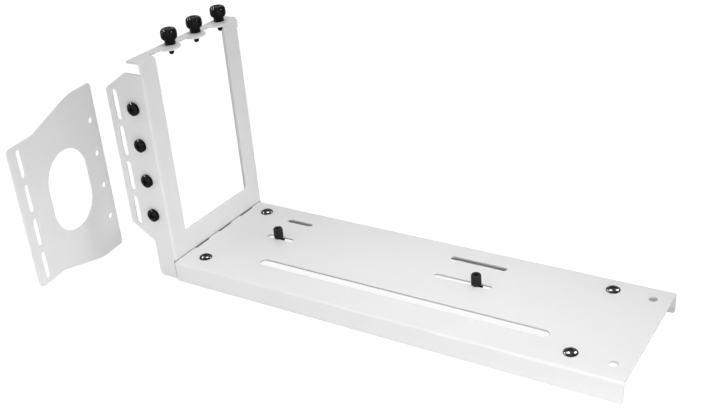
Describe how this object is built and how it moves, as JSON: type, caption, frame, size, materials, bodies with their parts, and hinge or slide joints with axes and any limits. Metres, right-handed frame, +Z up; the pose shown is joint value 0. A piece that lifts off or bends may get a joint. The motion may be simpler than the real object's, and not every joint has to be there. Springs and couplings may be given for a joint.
{
  "type": "graphics card support bracket",
  "caption": "Long low folded tray with an upright windowed frame at one end, ears with thumbscrews on top, slotted side flanges, sliding risers and a loose slotted extension plate.",
  "frame": {"origin": "centre of the whole set's footprint, on the floor it stands on", "axes": "+X along the tray, away from the upright frame; +Y to the rear; +Z up"},
  "size_m": [0.309, 0.1298, 0.1326],
  "materials": {
    "white_coat": "satin white powder coat on folded sheet steel",
    "black_steel": "glossy black finish on small steel hardware"
  },
  "bodies": {
    "bracket": {"frame_bracket": "white_coat", "base_tray": "white_coat", "extension_plate": "white_coat", "wing_screw_1": "black_steel", "wing_screw_2": "black_steel", "wing_screw_3": "black_steel", "wing_screw_4": "black_steel", "tray_screw_left_front": "black_steel", "tray_screw_left_rear": "black_steel", "tray_screw_right_front": "black_steel", "tray_screw_right_rear": "black_steel", "tray_nut_left_front": "black_steel", "tray_nut_left_rear": "black_steel", "tray_nut_right_front": "black_steel", "tray_nut_right_rear": "black_steel"},
    "riser_near": {"riser_standoff_near": "black_steel", "riser_washer_near": "black_steel", "riser_screw_near": "black_steel"},
    "riser_far": {"riser_standoff_far": "black_steel", "riser_washer_far": "black_steel", "riser_screw_far": "black_steel"},
    "thumb_front": {"thumbscrew_front": "black_steel"},
    "thumb_middle": {"thumbscrew_middle": "black_steel"},
    "thumb_rear": {"thumbscrew_rear": "black_steel"}
  },
  "joints": [
    {"name": "riser_near_slide", "type": "slide", "parent": "bracket", "child": "riser_near", "axis": [1, 0, 0], "range_m": [-0.0057, 0.0081]},
    {"name": "riser_far_slide", "type": "slide", "parent": "bracket", "child": "riser_far", "axis": [1, 0, 0], "range_m": [-0.0222, 0.0066]},
    {"name": "thumb_front_turn", "type": "hinge", "parent": "bracket", "child": "thumb_front", "pos_m": [-0.09959, 0.01574, 0.1242], "axis": [0, 0, 1], "continuous": true},
    {"name": "thumb_middle_turn", "type": "hinge", "parent": "bracket", "child": "thumb_middle", "pos_m": [-0.09959, 0.03606, 0.1242], "axis": [0, 0, 1], "continuous": true},
    {"name": "thumb_rear_turn", "type": "hinge", "parent": "bracket", "child": "thumb_rear", "pos_m": [-0.09959, 0.05638, 0.1242], "axis": [0, 0, 1], "continuous": true}
  ]
}
